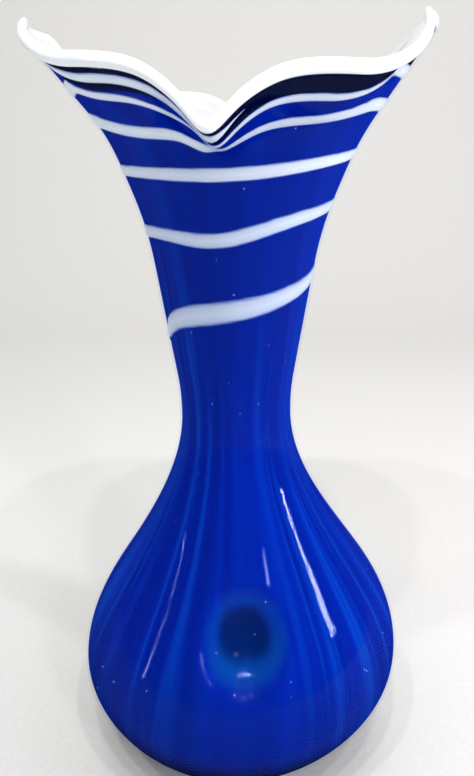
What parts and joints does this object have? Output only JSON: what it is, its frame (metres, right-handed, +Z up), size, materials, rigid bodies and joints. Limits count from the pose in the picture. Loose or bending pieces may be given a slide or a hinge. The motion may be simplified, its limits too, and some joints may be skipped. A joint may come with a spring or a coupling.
{
  "type": "art glass vase",
  "caption": "Hand blown vase of cased blue and white glass, with a pinched belly, a narrow neck and a flared throat folded in front and behind and drawn up into two wings.",
  "frame": {"origin": "middle of the footprint box, on the plane that the ground foot rests on", "axes": "+Z up through the neck, -Y towards the front fold and its pressed dimple, +X towards the right wing"},
  "size_m": [0.1553, 0.1966, 0.3282],
  "materials": {
    "opal_white": "gloss",
    "cobalt_blue": "gloss",
    "trail_white": "gloss",
    "clear_glass": "gloss",
    "rim_white": "gloss"
  },
  "bodies": {
    "root": {"white_lining": "opal_white", "blue_overlay": "cobalt_blue", "white_trail": "trail_white", "clear_casing": "clear_glass", "white_rim_wrap": "rim_white"}
  },
  "joints": []
}
